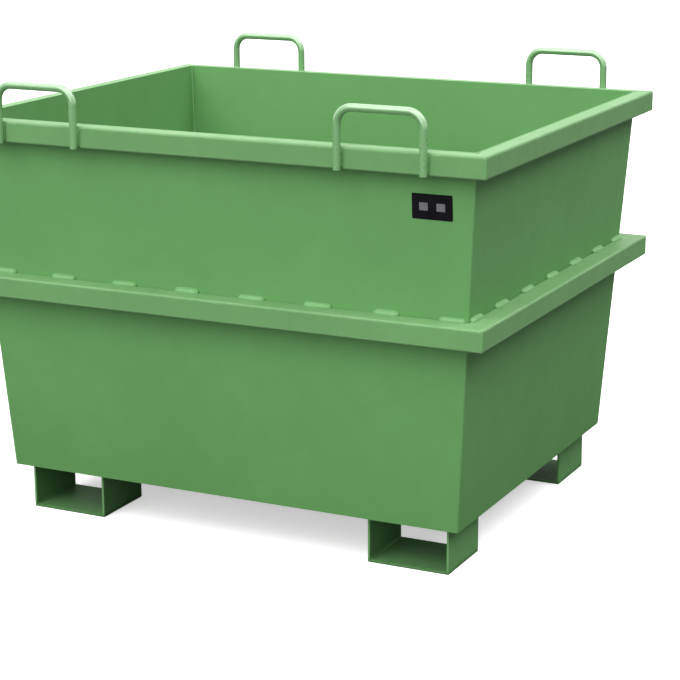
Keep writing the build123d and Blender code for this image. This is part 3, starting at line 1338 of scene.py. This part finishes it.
@dataclass
class Feet:
    """Four feet of flat bar, open from front to rear, with their welds.

    Attributes:
        chamfer: Radius of the bars' broken edges.
        top_bead: Radius of the beads at the floor.
        top_short: How far these stop short of a leg's edge.
        base_bead: Radius of the beads at the base.
        base_short: How far these stop short of a leg's edge.
        leg_bite: How deep the beads at the floor are let into a leg.
        floor_bite: How deep they are let into the floor.
    """

    chamfer: float = 0.001
    top_bead: float = 0.0046
    top_short: float = 0.01
    base_bead: float = 0.004
    base_short: float = 0.006
    leg_bite: float = 0.002
    floor_bite: float = 0.0015

    def bar(self, node: str) -> Workpiece:
        """Models one flat bar.

        Args:
            node: The CAD node that it stands for.

        Returns:
            The bar.
        """
        low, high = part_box(node)
        piece = Workpiece.block(f"{node}_bar", low, high)
        with piece.editing():
            bpy.ops.mesh.bevel(offset=self.chamfer, segments=3, affect="EDGES")
            flat = 2 * self.chamfer
            for axis in range(3):
                normal = Vector((0, 0, 0))
                normal[axis] = 1.0
                for level in (low[axis] + flat, high[axis] - flat):
                    piece.score(normal * level, normal)
        piece.mark_arrises()
        return piece

    @staticmethod
    def legs() -> Iterator[tuple[int, Vector, Vector]]:
        """Goes through the legs of all feet.

        Yields:
            Which way along X a leg faces out of its foot, and its lowest and highest corners.
        """
        for corner in Corner:
            for part, away in (("outer_leg", corner.value[0]), ("inner_leg", -corner.value[0])):
                yield away, *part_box(f"foot_{corner.word}_{part}")

    def top_welds(self) -> None:
        """Builds the beads between the legs and the floor's underside."""
        bead = Bead(self.top_bead, self.top_bead, pitch=0.0052, dip=0.1)
        planes = (
            (Vector((0, self.leg_bite, 0)), Vector((0, 1, 0))),
            (Vector((0, 0, self.floor_bite)), Vector((0, 0, 1))),
        )
        places = []
        for away, low, high in self.legs():
            root = (high.x if away > 0 else low.x, (low.y + high.y) / 2, high.z)
            places.append(Matrix.Translation(root) @ Matrix.Rotation(away * pi / 2, 4, "Z"))
        length = high.y - low.y - 2 * self.top_short
        bead.repeat("foot_weld_beads", length, places, planes).dress(WELD_PAINT, "foot_welds")

    def base_welds(self) -> None:
        """Builds the fillets between each base and its legs, inside the foot."""
        bead = Bead(self.base_bead, self.base_bead, pitch=0.0048, dip=0.1)
        turn = Matrix.Rotation(pi / 2, 4, "Z")
        places = []
        for away, low, high in self.legs():
            root = (low.x if away > 0 else high.x, (low.y + high.y) / 2, low.z)
            places.append(Matrix.Translation(root) @ turn)
        length = high.y - low.y - 2 * self.base_short
        bead.repeat("base_weld_beads", length, places).dress(WELD_PAINT)

    def build(self) -> None:
        """Builds the feet and their welds."""
        for part in ("base", "outer_leg", "inner_leg"):
            nodes = [f"foot_{corner.word}_{part}" for corner in Corner]
            self.bar(nodes[0]).dress_all(FOOT_PAINT, nodes)
        self.top_welds()
        self.base_welds()


def stands_up(edge: Any) -> bool:
    """Whether an edge stands up from the XY plane."""
    start, end = (point.co for point in edge.verts)
    return abs(end.z - start.z) > (end - start).length / 2


def facing_out(face: Any) -> bool:
    """Whether a face looks straight along Z."""
    return face.normal.z > 0.99


@dataclass
class NamePlate:
    """The small bare plate on the front wall.

    Attributes:
        length: Its length.
        height: Its height up the wall.
        proud: How far it stands off the wall.
        sunk: How far its back is let into the wall's swell.
        round: Radius of its corners.
        along: Its middle, from the middle of the front wall.
        level: Its middle above the ground.
        margin: Distance of the raised line from the edge.
        line: Width of that line.
        rise: Height of that line.
        field: Half sizes of a blank field.
        field_round: Radius of a blank field's corners.
        spread: Distance of a blank field's middle from that of the plate.
        arris: Width of the broken edge round the plate.
        slack: Room for the broken edge when the line's faces are told from the rest.
    """

    length: float = 0.104
    height: float = 0.062
    proud: float = 0.0012
    sunk: float = 0.001
    round: float = 0.003
    along: float = 0.597
    level: float = 0.941
    margin: float = 0.0015
    line: float = 0.0008
    rise: float = 0.0003
    field: tuple[float, float] = (0.011, 0.0095)
    field_round: float = 0.001
    spread: float = 0.022
    arris: float = 0.0003
    slack: float = 0.0004

    def blank_fields(self) -> list[Workpiece]:
        """Builds the two pale fields, raised as far as the line.

        Returns:
            The fields, on the plate before that is placed.
        """
        half_x, half_y = self.field
        low, high = (-half_x, -half_y, 0.0), (half_x, half_y, self.proud + self.rise)
        piece = Workpiece.block("blank_field", low, high)
        with piece.editing():
            piece.pick(Grip.EDGES, stands_up)
            bpy.ops.mesh.bevel(offset=self.field_round, segments=3, affect="EDGES")
        layer = piece.thing.data.attributes.new(FIELD, "FLOAT", "POINT")
        for point in layer.data:
            point.value = 1.0
        ends = ((piece, -self.spread), (piece.copy("blank_field"), self.spread))
        return [field.settle(Matrix.Translation((along, 0, 0))) for field, along in ends]

    def build(self) -> None:
        """Builds the plate with its rounded corners, raised line and blank fields."""
        half_x, half_y = self.length / 2, self.height / 2
        low, high = (-half_x, -half_y, -self.sunk), (half_x, half_y, self.proud)
        piece = Workpiece.block("name_plate_sheet", low, high)
        with piece.editing():
            piece.pick(Grip.EDGES, stands_up)
            bpy.ops.mesh.bevel(offset=self.round, segments=5, affect="EDGES")
            piece.pick(Grip.EDGES, lambda edge: all(point.co.z > 0 for point in edge.verts))
            bpy.ops.mesh.bevel(offset=self.arris, segments=2, affect="EDGES")
            quarter = half_x * half_y
            piece.pick(Grip.FACES, lambda face: facing_out(face) and face.calc_area() > quarter)
            bpy.ops.mesh.inset(thickness=self.margin)
            bpy.ops.mesh.inset(thickness=self.line)
            inset = self.margin + self.line + self.slack
            piece.pick(Grip.FACES, lambda face: self.in_line(face, (half_x - inset, half_y - inset)))
            bpy.ops.mesh.extrude_region_move(TRANSFORM_OT_translate={"value": (0, 0, self.rise)})
        piece.thing.data.attributes.new(FIELD, "FLOAT", "POINT")
        piece.absorb(self.blank_fields())
        piece.settle(FORM.on_face(Side.FRONT, self.along, self.level))
        piece.dress(PLATE_BLACK, "name_plate")

    def in_line(self, face: Any, border: tuple[float, float]) -> bool:
        """Whether a face belongs to the raised line.

        Args:
            face: A face of the plate, before it is placed.
            border: Half sizes of the field inside the line.

        Returns:
            Whether the face lies between the field and the margin.
        """
        middle = face.calc_center_median()
        outside = abs(middle.x) > border[0] or abs(middle.y) > border[1]
        beyond = max(abs(middle.x) - border[0], abs(middle.y) - border[1])
        return facing_out(face) and outside and beyond < self.line + 2 * self.slack


@dataclass
class TubWelds:
    """Welds that join the rim and the belt to the walls.

    Attributes:
        stitch_length: Length of one stitch on the belt.
        side_pitch: Distance from stitch to stitch on the front and rear walls.
        end_pitch: Distance from stitch to stitch on the end walls.
        side_shift: How far the rows on the front and rear walls lie along +X.
        corner_room: Least distance from a stitch's end to the tub's corner.
        belt_top: Level of the belt's top.
        sunk: How deep a stitch is let into the sheet behind it.
        belt_sunk: How deep it is let into the belt.
        stitch_half: Half a stitch's width on the belt and half its height on the wall, at size 1.
        sizes: Least and greatest size of a stitch.
        lengths: Least and greatest share of the stitch length.
        ripples: Least and greatest distance between a stitch's ripples.
        rim_bead: The bead in the groove beside the rim.
        rim_end: How far that stops short of the walls' length.
        rim_out: Distance of its axis from the wall's outer face.
        rim_down: Distance of its axis below the rim's top.
        seed: Start of the random draws.
    """

    stitch_length: float = 0.075
    side_pitch: float = 0.184
    end_pitch: float = 0.176
    side_shift: float = 0.012
    corner_room: float = 0.004
    belt_top: float = 0.667
    sunk: float = 0.002
    belt_sunk: float = 0.005
    stitch_half: tuple[float, float] = (0.0135, 0.0112)
    sizes: tuple[float, float] = (0.9, 1.08)
    lengths: tuple[float, float] = (0.92, 1.04)
    ripples: tuple[float, float] = (0.0042, 0.0054)
    rim_bead: Bead = Bead(width=0.0034, height=0.0028, pitch=0.0048, dip=0.08)
    rim_end: float = 0.011
    rim_out: float = 0.0029
    rim_down: float = 0.0024
    seed: int = 11

    def places(self, side: Side) -> list[float]:
        """Where a side's stitches have their middles.

        Args:
            side: The side.

        Returns:
            Distances from the side's middle.
        """
        half = FORM.run(side, self.belt_top)
        pitch = self.side_pitch if side.lengthwise else self.end_pitch
        count = int(2 * half / pitch) + 1
        shift = self.side_shift * cos(radians(side.value))
        row = [(index - (count - 1) / 2) * pitch + shift for index in range(count)]
        last = half - self.corner_room - self.stitch_length / 2
        return [max(-last, min(last, place)) for place in row]

    def stitches(self) -> None:
        """Builds the stitches along the belt's top edge, each a little different."""
        draw = random.Random(self.seed)
        down = Vector((0, 0, -1))
        beads = []
        for side in Side:
            lean = FORM.slope(side)
            wall = Vector((0, cos(lean), sin(lean)))
            planes = ((wall * self.sunk, wall), (down * self.belt_sunk, down))
            for place in self.places(side):
                size = draw.uniform(*self.sizes)
                width, height = (half * size for half in self.stitch_half)
                bead = Bead(width, height, draw.uniform(*self.ripples), dip=0.05)
                room = 2 * (FORM.run(side, self.belt_top) - self.corner_room - abs(place))
                length = min(room, self.stitch_length * draw.uniform(*self.lengths))
                weld = bead.fillet(f"stitch_{side.word}", length, planes)
                root = Vector((place, -FORM.reach(side, self.belt_top), self.belt_top))
                beads.append(weld.settle(side.turn @ Matrix.Translation(root)))
        together("belt_stitch_beads", beads).dress(WELD_PAINT, "belt_stitch_welds")

    def rim_runs(self) -> None:
        """Builds the runs that fill the groove between the walls' top edges and the rim."""
        beads = []
        for sides in OPPOSITES:
            length = 2 * FORM.run(sides[0], FORM.mouth) - self.rim_end
            out, level = self.rim_out + FORM.reach(sides[0], FORM.mouth), FORM.mouth - self.rim_down
            places = [side.turn @ Matrix.Translation((0, -out, level)) for side in sides]
            beads.append(self.rim_bead.repeat("rim_run", length, places))
        together("rim_weld_beads", beads).dress(WELD_PAINT, "rim_welds")

    def build(self) -> None:
        """Builds the stitches and the runs along the rim."""
        self.stitches()
        self.rim_runs()


@dataclass
class Studio:
    """Pale floor, soft light and the camera.

    Attributes:
        eye: Where the camera stands.
        right: The picture's rightward direction.
        up: The picture's upward direction.
        back: From the picture back to the camera.
        lens: Focal length in millimetres.
        sensor: Width of the sensor in millimetres.
        sight: How far the camera sees.
        floor_size: Edge of the floor.
        floor_tone: Brightness of the floor as it is seen.
        floor_cloud: How far that wanders either way.
        floor_glow: Strength of the glow that lifts the floor's shadows where it is seen.
        floor_bounce: Brightness of the floor in the light that it throws back.
        fill: Strength of the light from all round.
        sheen: Strength of the surroundings in reflections.
        lamps: Name, direction from the container, strength and width in degrees of each lamp.
    """

    eye: tuple[float, float, float] = (2.50445, -4.95042, 1.85805)
    right: tuple[float, float, float] = (0.89824405, 0.43948048, -0.00381172)
    up: tuple[float, float, float] = (-0.10692326, 0.2269339, 0.96802295)
    back: tuple[float, float, float] = (0.4262922, -0.86911329, 0.25083271)
    lens: float = 109.935
    sensor: float = 36.0
    sight: float = 400.0
    floor_size: float = 160.0
    floor_tone: float = 0.9
    floor_cloud: float = 0.01
    floor_glow: float = 0.55
    floor_bounce: float = 0.14
    fill: float = 0.03
    sheen: float = 1.7
    lamps: tuple[tuple[str, tuple[float, float, float], float, float], ...] = (
        ("front", (-0.05, -1.0, 0.6), 2.54, 60.0),
        ("high", (-0.7, -1.0, 2.6), 1.95, 60.0),
        ("side", (1.0, 0.2, 1.6), 2.7, 50.0),
        ("rear", (-0.7, 1.0, 1.0), 0.35, 60.0),
    )

    def camera(self) -> None:
        """Sets up the camera."""
        data = bpy.data.cameras.new("camera")
        data.lens = self.lens
        data.sensor_fit = "HORIZONTAL"
        data.sensor_width = self.sensor
        data.clip_end = self.sight
        camera = bpy.data.objects.new("camera", data)
        bpy.context.scene.collection.objects.link(camera)
        axes = Matrix((self.right, self.up, self.back)).transposed().to_4x4()
        camera.matrix_world = Matrix.Translation(self.eye) @ axes
        bpy.context.scene.camera = camera

    def floor(self) -> None:
        """Lays the floor."""
        piece = Workpiece.leaf("studio_floor", self.floor_size, self.floor_size)
        material, graph, place = open_material("floor_finish")
        cloud = graph.noise(place, scale=1.3, detail=3.0)
        shades = (self.floor_tone - self.floor_cloud, self.floor_tone + self.floor_cloud)
        pale = graph.tint(cloud, *((shade,) * 3 for shade in shades))
        seen = graph.add("ShaderNodeLightPath", {}).outputs["Is Camera Ray"]
        graph.surface({
            "Base Color": graph.tint(seen, (self.floor_bounce,) * 3, pale),
            "Emission Color": graph.tint(seen, (0.0, 0.0, 0.0), pale),
            "Emission Strength": self.floor_glow,
            "Roughness": 0.9,
            "Specular IOR Level": 0.1,
        })
        piece.thing.data.materials.append(material)

    def light(self) -> None:
        """Sets up the lamps and the light from all round."""
        world = bpy.data.worlds.new("studio_air")
        bpy.context.scene.world = world
        world.use_nodes = True
        graph = Graph(world.node_tree)
        path = graph.add("ShaderNodeLightPath", {})
        shown = graph.spread(path.outputs["Is Camera Ray"], 0.0, 1.0, self.fill, 1.0)
        strength = graph.spread(path.outputs["Is Glossy Ray"], 0.0, 1.0, shown, self.sheen)
        sky = graph.add("ShaderNodeBackground", {"Color": (1.0, 1.0, 1.0, 1.0), "Strength": strength})
        graph.add("ShaderNodeOutputWorld", {"Surface": sky.outputs[0]})
        scene = bpy.context.scene
        for name, towards, energy, width in self.lamps:
            data = bpy.data.lights.new(name, "SUN")
            data.energy = energy
            data.angle = radians(width)
            lamp = bpy.data.objects.new(name, data)
            scene.collection.objects.link(lamp)
            lamp.matrix_world = Vector(towards).to_track_quat("Z", "Y").to_matrix().to_4x4()
        scene.view_settings.view_transform = "Standard"
        scene.view_settings.look = "None"

    def build(self) -> None:
        """Sets up floor, light and camera."""
        self.camera()
        self.floor()
        self.light()


def main() -> None:
    """Builds the container and the studio round it."""
    logging.basicConfig(level=logging.INFO, format="%(name)s: %(message)s")
    rings = (TubeRing("rim", corner=0.006), TubeRing("belt", corner=0.005))
    for assembly in (Tub(), *rings, LiftingLoops(), Feet(), NamePlate(), TubWelds(), Studio()):
        LOG.info("building %s", type(assembly).__name__)
        assembly.build()


if __name__ == "__main__":
    main()
